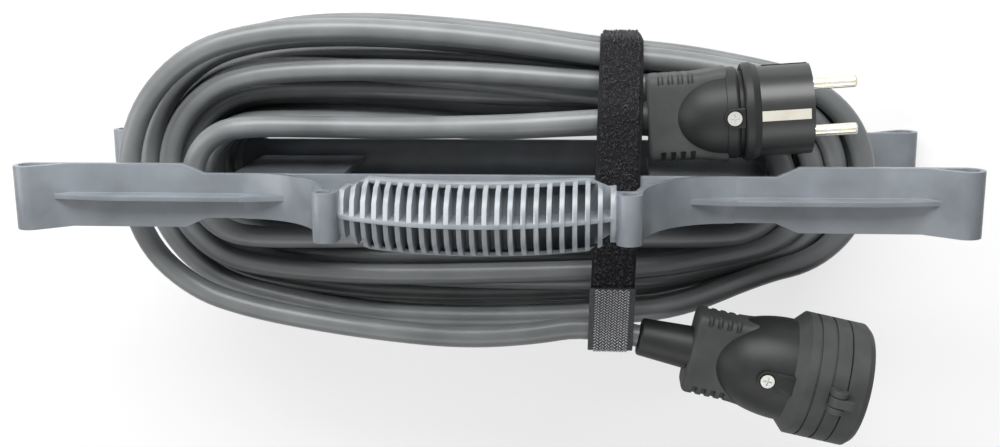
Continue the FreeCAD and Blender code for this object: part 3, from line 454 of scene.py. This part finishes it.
def woundPath():
    # layer by layer, each going down or up the winding: share and height at every station, strayed by
    # smooth noise, and then evened out and pushed apart wherever two turns come too near
    v = cordValues
    n = v["stations"]
    first, last = round(v["start"] / 4 * n), round((v["turns"] + v["end"] / 4) * n)
    k = np.arange(first, last + 1)
    p = 4 * k / n
    lead = round(v["endOfLead"] / 4 * n)
    layers = np.clip((k - lead) / (last - lead), 0, 0.9999) * v["layers"]
    layer = np.floor(layers)
    level = np.where(layer % 2 == 0, 1 - (layers - layer), layers - layer)
    inside, outside = turnPoint(p, np.zeros(len(k)), 0 * p), turnPoint(p, np.ones(len(k)), 0 * p)
    room = np.linalg.norm(outside - inside, axis=1)  # width of the winding at each station
    rise = smoothStep(-inside[:, 0], -v["topReach"], v["topReach"])
    top = v["topRight"] + (v["topLeft"] - v["topRight"]) * rise
    share = layer / (v["layers"] - 1) + slowNoise(len(k), v["wanderOutOver"], v["wanderOut"]) / room
    up = v["low"] + level * (top - v["low"]) + slowNoise(len(k), v["wanderUpOver"], v["wanderUp"])
    weight = np.clip(np.minimum(k - lead, last - k) / v["heldEnds"], 0, 1)
    gap = v["diameter"] * v["gap"]
    for _ in range(v["rounds"]):
        push = np.zeros((len(k), 2))
        push[1:-1, 0] += v["relax"] * (share[:-2] + share[2:] - 2 * share[1:-1]) * room[1:-1]
        push[1:-1, 1] += v["relax"] * (up[:-2] + up[2:] - 2 * up[1:-1])
        for ahead in range(n, len(k), n):
            dOut, dUp = (share[ahead:] - share[:-ahead]) * room[ahead:], up[ahead:] - up[:-ahead]
            dist = np.hypot(dOut, dUp) + 1e-6  # never nothing
            part = np.clip(gap - dist, 0, None) * 0.5 / dist  # each turn gives way by half
            push[ahead:, 0] += part * dOut
            push[ahead:, 1] += part * dUp
            push[:-ahead, 0] -= part * dOut
            push[:-ahead, 1] -= part * dUp
        share = np.clip(share + push[:, 0] * weight / room, 0, 1)
        up = np.clip(up + push[:, 1] * weight, v["low"], top)
    return turnPoint(p, share, up)


def cordRoute():
    # from the plug into the winding, round it, and out to the socket, in mm
    v = routeValues
    drop = Vector((0, 0, -v["plugDrop"]))
    wound = woundPath()
    keepFrom = int(np.argmax(wound[:, 0] < v["windingFrom"]))
    start = [plugRear, plugRear + plugOut * v["straight"], plugRear + plugOut * v["plugBend"] + drop]
    end = v["socketLead"] + [socketRear + socketOut * v["straight"], socketRear]
    return np.array([list(p) for p in start] + wound[keepFrom:].tolist() + [list(p) for p in end])


def makeCord():
    # a smooth curve of order 3 along the route, with a round section
    points = cordRoute() * mm
    curve = bpy.data.curves.new("windingCord", "CURVE")
    curve.dimensions = "3D"
    spline = curve.splines.new("NURBS")
    spline.points.add(len(points) - 1)
    spline.points.foreach_set("co", np.c_[points, np.ones(len(points))].ravel())
    spline.order_u = 3
    spline.use_endpoint_u = True
    spline.resolution_u = 6
    curve.bevel_depth = cordValues["diameter"] / 2 * mm
    curve.bevel_resolution = 5
    curve.materials.append(cableRubber)
    lengthNow = float(np.linalg.norm(np.diff(points, axis=0), axis=1).sum())
    print("cord made:", len(points), "points,", round(lengthNow, 2), "m along them")
    return addObject("windingCord", curve)


cord = makeCord()
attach(cord, "winder")
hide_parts("cable_coil", "plug_lead", "socket_lead")


# what the plug and the socket share: a round nose, a flat tail, a screw boss and a sleeve

# half sizes in mm: past swellFrom the tail grows wider by swell, and along both its edges it has
# notches, each flat for notchFloor and ended by notchRim from its middle
tailValues = {"wide": 17.5, "tall": 10.0, "power": 6.5, "edge": 2.2, "step": 0.3, "swell": 1.2,
              "swellFrom": 18, "firstNotch": 5.5, "notchPitch": 3.9, "notchCount": 4, "notchFloor": 0.65,
              "notchRim": 1.0, "notchDeep": 2.0, "notchIn": 4.4, "notchOut": 3.6, "notchAbove": 0.35}
bossValues = {"soft": 0.5, "sunkRadius": 3.0, "sunkDeep": 1.8}


def bulletSurface(front, rear, radius):
    # quarter of a superellipse turned about X: r = radius (1 - u^2.1)^(1/2.1), u from 0 at the front to 1
    u = np.sin(np.linspace(0, np.pi / 2, 40))
    r = radius * (1 - u ** 2.1) ** (1 / 2.1)
    profile = np.stack([front + (rear - front) * u, r], axis=-1)
    return turnedSurface(np.concatenate([[[front, 0]], profile]))


def tailSurface(back, front):
    # flat superellipse body whose back edge is rounded by a quarter circle, with finger notches
    # pressed into both edges of both faces: z is lowered across each notch, which is an eased step
    v = tailValues
    turn = np.linspace(0, np.pi / 2, 8)
    capX, capIn = back + v["edge"] * (1 - np.sin(turn)), v["edge"] * (1 - np.cos(turn))
    rows = np.arange(back + v["edge"] + v["step"], front, v["step"])
    xs = np.r_[back, capX[::-1], rows, front, front]
    inset = np.r_[v["edge"], capIn[::-1], np.zeros(len(xs) - len(turn) - 1)]
    swell = v["swell"] * smoothStep(xs, back + v["swellFrom"], front)
    grid, closeU, closeV = superLoft(xs, v["wide"] - inset + swell, v["tall"] - inset, v["power"],
                                     columns=200)
    phase = (grid[..., 0] - back - v["firstNotch"]) / v["notchPitch"]
    across = np.abs(phase - np.round(phase)) * v["notchPitch"]
    inRun = (np.round(phase) >= 0) & (np.round(phase) <= v["notchCount"] - 1)
    notch = (1 - smoothStep(across, v["notchFloor"], v["notchRim"])) * inRun
    onEdge = smoothStep(np.abs(grid[..., 1]), v["wide"] - v["notchIn"], v["wide"] - v["notchOut"])
    onFace = np.abs(grid[..., 2]) > v["tall"] * v["notchAbove"]
    grid[..., 2] -= np.sign(grid[..., 2]) * v["notchDeep"] * (notch * onEdge * onFace)
    return grid, closeU, closeV


def bossSurface(centreX, low, top, radius, front):
    # screw boss: round at the back and square to the front, with a sunk floor for the screw's head
    v = bossValues
    angle = np.linspace(0, 2 * np.pi, 96, endpoint=False)
    c, s = np.cos(angle), np.sin(angle)
    square = np.minimum(radius / np.maximum(np.abs(s), 1e-6), (front - centreX) / np.maximum(c, 1e-6))
    outline = np.where(c > 0, square, radius)
    floor, sunk = top - v["sunkDeep"], v["sunkRadius"]
    rows = [(0, low), (outline, low), (outline, top - v["soft"]), (outline - 0.12, top - 0.15),
            (outline - 0.45, top), (sunk + 0.25, top), (sunk + 0.05, top - 0.2), (sunk, floor), (0, floor)]
    grid = np.stack([np.stack([centreX + r * c, r * s, z + 0 * c], axis=-1) for r, z in rows])
    return grid, False, True


def sleeveSurface(v):
    # tapered tube round the cord, which ends 1 mm inside the body
    back, front = v["sleeveBack"], v["back"] + 1.0
    outline = [(back, 0), (back, v["sleeveThin"]), (v["back"], v["sleeveThick"]), (front, v["sleeveThick"]),
               (front, 0)]
    return turnedSurface(roundedProfile(outline, v["sleeveSoft"]), sides=64)


# plug: rubber body, flange ring and pins, in its own millimetres with X towards the pins. Back and
# front are places along X, and the small numbers in the outlines below soften the edges

plugPlace = turnedMatrix(129.0, 35.5, 97.0, 3.8)
plugValues = {"ringBack": -26.6, "ringFront": -20.4, "ringRadius": 19.7, "neckRadius": 16.5,
              "neckBack": -28.4, "collarBack": -33.4, "collarRadius": 18.5, "noseBack": -56.0,
              "back": -64.0, "bulletRadius": 17.7, "screwX": -31.0, "screwTop": 19.4, "screwRadius": 3.9,
              "sleeveBack": -76.0, "sleeveThin": 6.1, "sleeveThick": 7.5, "sleeveSoft": 0.8,
              "pinRoot": -12.0, "pinTip": 19.0, "pinRadius": 2.4, "pinRootRadius": 2.2, "pinSide": 9.5,
              "pinSoft": 1.0, "slitDeep": 0.45, "slitFront": 18.0,
              "slitAngle": 1.35, "slitFloor": 0.06, "slitRim": 0.13}  # these three in radians


def pinSlit(x, angle):
    # thin saw-cut along the top of the pin, from near its tip back into the insert
    v = plugValues
    aside = np.abs(angle - v["slitAngle"])
    return v["slitDeep"] * (1 - smoothStep(aside, v["slitFloor"], v["slitRim"])) * (x < v["slitFront"])


def makePlug():
    v = plugValues
    joint, neck, radius = v["collarBack"] + 0.5, v["neckBack"], v["collarRadius"]
    collar = roundedProfile([(v["collarBack"], 0), (v["collarBack"], radius - 0.3), (neck - 1.2, radius),
                             (neck, radius - 0.7), (neck, v["neckRadius"]),
                             (v["ringBack"] + 0.2, v["neckRadius"]), (v["ringBack"] + 0.2, 0)], 0.35)
    body = shellPiece("plugRubberBody", [
        bulletSurface(joint, v["noseBack"], v["bulletRadius"]),
        tailSurface(v["back"], joint),
        turnedSurface(collar),
        bossSurface(v["screwX"], radius - 4, v["screwTop"], v["screwRadius"], v["ringBack"] - 0.1)],
        plugPlace, textured=[1])
    dressPiece(body, bodyRubber, replaced=["plug_housing"])
    body.data.materials.append(etchedAndPaintedLitRubber)
    r, back, front = v["ringRadius"], v["ringBack"], v["ringFront"]
    ring = roundedProfile([(back, 0), (back, r - 0.7), (back + 0.8, r), (back + 3.4, r), (front, r - 1.3),
                           (front, 0)], 0.3)
    flange = shellPiece("plugFlange", [turnedSurface(ring)], plugPlace)
    dressPiece(flange, bodyRubber, replaced=["plug_flange_ring"])
    relief = shellPiece("plugSleeve", [sleeveSurface(v)], plugPlace)
    dressPiece(relief, bodyRubber, replaced=["plug_strain_relief"])
    root, tip, thin, thick = v["pinRoot"], v["pinTip"], v["pinRootRadius"], v["pinRadius"]
    outline = roundedProfile([(root, 0), (root, thin), (0.0, thin), (0.0, thick), (tip, thick), (tip, 0)],
                             v["pinSoft"], steps=6)
    pins = []
    for name, node, side in (("plugPinLine", "plug_pin_line", 1),
                             ("plugPinNeutral", "plug_pin_neutral", -1)):
        surface = turnedSurface(spacedProfile(outline, 0.8), sides=144, dent=pinSlit,
                                centre=(0, v["pinSide"] * side, 0))
        pin = shellPiece(name, [surface], plugPlace)
        pins.append(dressPiece(pin, platedBrass, replaced=[node]))
    return [body, flange, relief] + pins


plugPieces = makePlug()
print("plug made")


# socket: rubber body, collar with two grooves and a sprung lid, X towards the lid

socketPlace = turnedMatrix(154.6, -82.0, 94.0, -12.3)
socketValues = {"collarFront": -10.0, "collarBack": -31.0, "collarRadius": 26.0, "shoulder": 4.5,
                "shoulderRadius": 22.0, "recessRadius": 19.6, "grooves": (-22.6, -16.3),
                "grooveDeep": 0.7, "grooveHalf": 0.35, "grooveSlope": 0.12,
                "noseBack": -64.0, "back": -72.0, "bulletRadius": 21.6,
                "screwX": -41.0, "screwLow": 16.0, "screwTop": 22.4, "screwRadius": 4.2,
                "sleeveBack": -93.5, "sleeveThin": 7.9, "sleeveThick": 9.2, "sleeveSoft": 1.3,
                "hingeX": -13.3, "hingeZ": 28.1, "barrelRadius": 3.5, "barrelHalf": 4.8,
                "knuckleHalf": 2.0, "gap": 0.3,
                "lidBack": -9.6, "lidDeep": 4.6, "lidSkirt": 3.0, "armLong": 2.5}


def makeSocketBody():
    v = socketValues
    body = shellPiece("socketRubberBody", [
        bulletSurface(v["collarBack"] + 0.4, v["noseBack"], v["bulletRadius"]),
        tailSurface(v["back"], v["collarBack"] - 9),
        bossSurface(v["screwX"], v["screwLow"], v["screwTop"], v["screwRadius"], v["collarBack"] + 1.0)],
        socketPlace, textured=[1])
    dressPiece(body, bodyRubber, replaced=["socket_housing"])
    body.data.materials.append(etchedAndPaintedLitRubber)
    relief = shellPiece("socketSleeve", [sleeveSurface(v)], socketPlace)
    return [body, dressPiece(relief, bodyRubber, replaced=["socket_strain_relief"])]


def makeSocketCollar():
    # a ring with a shoulder at its back and two grooves, and an ear on each side of the lid's knuckle
    v = socketValues
    r, back, front = v["collarRadius"], v["collarBack"], v["collarFront"]
    hingeX, hingeZ, barrel = v["hingeX"], v["hingeZ"], v["barrelRadius"]
    outside = [(back, v["recessRadius"]), (back, v["shoulderRadius"] - 0.6),
               (back + 0.6, v["shoulderRadius"]), (back + v["shoulder"], r)]
    for x in v["grooves"]:
        half, deep, slope = v["grooveHalf"], v["grooveDeep"], v["grooveSlope"]
        outside += [(x - half - slope, r), (x - half, r - deep), (x + half, r - deep), (x + half + slope, r)]
    outside += [(front - 0.25, r), (front, r - 0.25), (front, v["recessRadius"])]
    ring, _, _ = turnedSurface(np.array(outside), sides=128)
    ears = []
    inner, outer = v["knuckleHalf"] + v["gap"], v["barrelHalf"]
    for y0, y1 in ((-outer, -inner), (inner, outer)):
        ears.append(rodAlongY(y0, y1, barrel, hingeX, hingeZ))
        ears.append(blockSurface(hingeX - barrel, hingeX + barrel - 1.0, y0, y1, r - 2.5, hingeZ))
    collar = shellPiece("socketCollarRing", [(ring, True, True)] + ears, socketPlace, sharpAngle=28)
    # the collar takes the paler rubber as painted light: it stands lit more than the body
    return dressPiece(collar, etchedAndPaintedLitRubber, replaced=["socket_collar"])


def makeSocketLid():
    # a disc with a skirt that enters the collar, and an arm that runs over the hinge's knuckle
    v = socketValues
    r, back, half = v["collarRadius"], v["lidBack"], v["knuckleHalf"]
    hingeX, hingeZ, barrel = v["hingeX"], v["hingeZ"], v["barrelRadius"]
    skirt, capBack = r - v["lidSkirt"], back + v["lidDeep"]
    cap = [(capBack, 0), (capBack, skirt), (back, skirt), (back, r - 0.25), (back + 0.25, r), (-2.6, r),
           (-2.3, r - 0.15), (-0.25, r - 1.9), (0.0, r - 2.2), (0.0, 0)]
    armFront = back + v["armLong"]
    lid = shellPiece("socketSplashLid", [
        turnedSurface(np.array(cap), sides=128),
        rodAlongY(-half, half, barrel, hingeX, hingeZ),
        blockSurface(hingeX, armFront, -half, half, hingeZ, hingeZ + barrel),
        blockSurface(back, armFront, -half, half, r - 2.0, hingeZ + barrel)], socketPlace, sharpAngle=25)
    # the lid takes the paler rubber as painted light: it stands lit more than the body
    return dressPiece(lid, etchedAndPaintedLitRubber, "lid", ["socket_lid"])


socketPieces = makeSocketBody() + [makeSocketCollar(), makeSocketLid()]
print("socket made")


# winder frame: the solids with their moulded edges rounded

frameRounding = {"upper_rail": 0.35, "lower_rail": 0.35, "left_handle_arm": 0.35, "right_handle_arm": 0.35,
                 "handle_grip": 0.32, "left_core_plate": 0.3, "right_core_plate": 0.3}
flatAngle, bevelAngle, crispAngle = 0.5, 38, 40  # degrees: facets merged, edges rounded, edges left crisp


def softenedCopy(nodeName, name, radius):
    # a copy of a solid with its facets merged and its hard edges rounded by radius millimetres
    work = bmesh.new()
    work.from_mesh(frame["nodes"][nodeName].data)
    bmesh.ops.remove_doubles(work, verts=work.verts, dist=weld)
    bmesh.ops.dissolve_limit(work, angle_limit=math.radians(flatAngle), verts=work.verts, edges=work.edges)
    mesh = bpy.data.meshes.new(name)
    work.to_mesh(mesh)
    work.free()
    piece = addObject(name, mesh)
    bevel = piece.modifiers.new("roundedEdges", "BEVEL")
    bevel.width = radius * mm
    bevel.segments = 2
    bevel.limit_method = "ANGLE"
    bevel.angle_limit = math.radians(bevelAngle)
    bevel.use_clamp_overlap = True
    baked = bpy.data.meshes.new_from_object(piece.evaluated_get(bpy.context.evaluated_depsgraph_get()))
    piece.modifiers.clear()
    piece.data = baked
    baked.materials.clear()
    baked.polygons.foreach_set("use_smooth", np.ones(len(baked.polygons), bool))
    baked.set_sharp_from_angle(angle=math.radians(crispAngle))
    return piece


for nodeName, radius in frameRounding.items():
    words = nodeName.split("_")
    pieceName = words[0] + "".join(word.title() for word in words[1:]) + "Moulding"
    plastic = gripPlastic if nodeName == "handle_grip" else framePlastic
    dressPiece(softenedCopy(nodeName, pieceName, radius), plastic, replaced=[nodeName])
print("frame made")


# strap: pulled tight round the winding, the two leads and the upper rail

strapValues = {  # mm and radians
    "x": 53.0, "slant": 0.03, "wide": 18.0, "clear": 0.2, "backing": 1.0, "pile": 1.7, "selvage": 1.3,
    # what the belt goes round besides the cord: the rail's two upper edges and the plug's sleeve
    "railHalf": 9.3, "railSoft": 0.6, "railBelow": 2.0, "sleeveRadius": 7.2, "cordReach": 2,
    "directions": 2880, "step": 0.9, "smoothings": 6,
    "loops": 6000, "loopHeight": 1.4, "loopLength": 1.5, "loopThick": 0.14,
    # the hook end lies where the belt's y is below hookFrom and its z above hookLow
    "hookFrom": -37.0, "hookLow": 38.0, "hookWide": 18.8, "hookLift": 0.35, "hookTop": 3.1, "hookStep": 0.8,
    "hookBorder": 2.2, "hookRow": 1.25, "hookColumn": 1.2, "hookColumns": 12, "hookOffset": 0.62,
    "hookTurn": 0.9, "hookLength": 1.25, "hookHeight": 0.42, "hookThick": 0.21,
}


def splineRun(curvePiece):
    # points along a curve's own spline in millimetres, without its thickness
    bare = curvePiece.data.copy()
    bare.bevel_depth = 0
    probe = addObject("probe", bare)
    mesh = bpy.data.meshes.new_from_object(probe.evaluated_get(bpy.context.evaluated_depsgraph_get()))
    coords = np.empty(len(mesh.vertices) * 3)
    mesh.vertices.foreach_get("co", coords)
    bpy.data.objects.remove(probe)
    bpy.data.curves.remove(bare)
    bpy.data.meshes.remove(mesh)
    return coords.reshape(-1, 3) / mm


def beltPath():
    # tight belt round circles: for each direction n, the furthest point p + r n of all of them
    v = strapValues
    run = splineRun(cord)
    near = np.abs(run[:, 0] - v["x"] - v["slant"] * run[:, 1]) < v["wide"] / 2 + v["cordReach"]
    cordCentres, cordRadii = run[near][:, 1:], np.full(near.sum(), cordValues["diameter"] / 2)
    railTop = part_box("strap_band")[1][2] / mm - v["railBelow"] - v["railSoft"]
    others = np.array([[v["railHalf"], railTop], [-v["railHalf"], railTop], [plugRear.y, plugRear.z]])
    centres = np.concatenate([cordCentres, others])
    radii = np.r_[cordRadii, v["railSoft"], v["railSoft"], v["sleeveRadius"]] + v["clear"]
    phi = np.linspace(0, 2 * np.pi, v["directions"], endpoint=False)
    normal = np.stack([np.cos(phi), np.sin(phi)], axis=-1)
    best = np.argmax(centres @ normal.T + radii[:, None], axis=0)
    path = centres[best] + radii[best][:, None] * normal
    path = np.concatenate([path, path[:1]])
    along = distanceAlong(path)
    even = np.linspace(0, along[-1], int(along[-1] / v["step"]), endpoint=False)
    smooth = np.stack([np.interp(even, along, path[:, i]) for i in (0, 1)], axis=-1)
    for _ in range(v["smoothings"]):
        smooth = 0.5 * smooth + 0.25 * (np.roll(smooth, 1, axis=0) + np.roll(smooth, -1, axis=0))
    tangent = np.roll(smooth, -1, axis=0) - np.roll(smooth, 1, axis=0)
    tangent /= np.linalg.norm(tangent, axis=1, keepdims=True)
    return {"run": even, "length": along[-1], "path": smooth,
            "normal": np.stack([tangent[:, 1], -tangent[:, 0]], axis=-1)}


def strapPlace(belt, run, across, height):
    # a place on the strap: run along it, across from its middle, and height off its inner face
    at = np.mod(run, belt["length"])
    y, z, ny, nz = (np.interp(at, belt["run"], values, period=belt["length"]) for values in
                    (belt["path"][:, 0], belt["path"][:, 1], belt["normal"][:, 0], belt["normal"][:, 1]))
    x = strapValues["x"] + strapValues["slant"] * y + across
    return np.stack([x + 0 * y, y + ny * height, z + nz * height], axis=-1) * mm


def bandMesh(name, belt, runs, section, closeU):
    # a flat section of (across, height) points, its corners softened, carried along the belt
    grid = strapPlace(belt, runs[:, None], section[None, :, 0], section[None, :, 1])
    mesh = quadMesh(name, grid, gridQuads(grid.shape[0], grid.shape[1], closeU, True))
    closeShells(mesh, sharpAngle=50)
    return addObject(name, mesh)


def archField(name, belt, run, across, turn, length, height, thick, base, stations=4, sides=3):
    # thin threads, each bent over its place as one arch: height = base + h sin(pi t)
    t = np.linspace(0, 1, stations)[None, :, None]
    k = 2 * np.pi * np.arange(sides)[None, None, :] / sides
    run, across, turn, length, height = (np.broadcast_to(value, run.shape)[:, None, None]
                                         for value in (run, across, turn, length, height))
    along, side, lift = (t - 0.5) * length, thick * np.cos(k), thick * np.sin(k)
    grid = strapPlace(belt, run + along * np.cos(turn) - side * np.sin(turn),
                      across + along * np.sin(turn) + side * np.cos(turn),
                      base + height * np.sin(np.pi * t) + lift)
    firstPoints = stations * sides * np.arange(grid.shape[0])[:, None, None]
    quads = (gridQuads(stations, sides, False, True)[None] + firstPoints).reshape(-1, 4)
    return addObject(name, quadMesh(name, grid, quads))


def makeLoopBand(belt):
    # the closed band, and the pile that stands on it between its plain edges
    v = strapValues
    half, edge, count = v["wide"] / 2, v["wide"] / 2 - v["selvage"], v["loops"]
    section = np.array([(-half, 0.15), (-half + 0.15, 0), (half - 0.15, 0), (half, 0.15), (half, 0.8),
                        (half - 0.2, v["backing"]), (edge + 0.25, v["backing"]), (edge - 0.2, v["pile"]),
                        (0, v["pile"] + 0.05), (-edge + 0.2, v["pile"]), (-edge - 0.25, v["backing"]),
                        (-half + 0.2, v["backing"]), (-half, 0.8)])
    band = bandMesh("strapBandTape", belt, belt["run"], section, True)
    dressPiece(band, loopTape, replaced=["strap_band"])
    run = rng.uniform(0, belt["length"], count)
    across = rng.uniform(-edge, edge, count)
    turn = rng.uniform(0, 2 * np.pi, count)
    length = rng.uniform(0.6, 1.0, count) * v["loopLength"]
    height = rng.uniform(0.4, 1.0, count) * v["loopHeight"]
    pile = archField("strapLoopPile", belt, run, across, turn, length, height, v["loopThick"],
                     v["pile"] - 0.1)
    # the pile threads' paler patches are painted glints
    dressPiece(pile, pileThreadPaintedGlints)


def makeHookEnd(belt):
    # the end that laps over the band, with rows of hooks turned left and right by turns
    v = strapValues
    lapped = (belt["path"][:, 0] < v["hookFrom"]) & (belt["path"][:, 1] > v["hookLow"])
    first = belt["run"][np.flatnonzero(lapped & ~np.roll(lapped, 1))[0]]
    last = belt["run"][np.flatnonzero(lapped & ~np.roll(lapped, -1))[0]]
    first -= belt["length"] if first > last else 0
    runs = np.r_[first, np.arange(first, last, v["hookStep"]), last]
    wide, low, top, border = v["hookWide"] / 2, v["pile"] + v["hookLift"], v["hookTop"], v["hookBorder"]
    section = np.array([(-wide, low + 0.2), (-wide + 0.3, low), (wide - 0.3, low), (wide, low + 0.2),
                        (wide, top - 0.5), (wide - 0.3, top - 0.25), (wide - border, top - 0.25),
                        (wide - border - 0.3, top), (0, top), (border + 0.3 - wide, top),
                        (border - wide, top - 0.25), (0.3 - wide, top - 0.25), (-wide, top - 0.5)])
    patch = bandMesh("strapHookTape", belt, runs, section, False)
    dressPiece(patch, hookTape, replaced=["strap_hook_end"])
    rows = np.arange(first + 0.8, last - 0.5, v["hookRow"])
    columns = (np.arange(v["hookColumns"]) - (v["hookColumns"] - 1) / 2) * v["hookColumn"]
    run, across = np.meshgrid(rows, columns, indexing="ij")
    odd = (np.arange(len(columns)) % 2)[None, :] + 0 * rows[:, None]
    run = run + odd * v["hookOffset"]
    turn = np.where(odd > 0, v["hookTurn"], -v["hookTurn"])
    hooks = archField("strapHookRows", belt, run.ravel(), across.ravel(), turn.ravel(), v["hookLength"],
                      v["hookHeight"], v["hookThick"], top - 0.05)
    dressPiece(hooks, hookThread)
    return run.size


belt = beltPath()
makeLoopBand(belt)
hooks = makeHookEnd(belt)
print("strap made:", round(belt["length"]), "mm round,", strapValues["loops"], "loops,", hooks, "hooks")
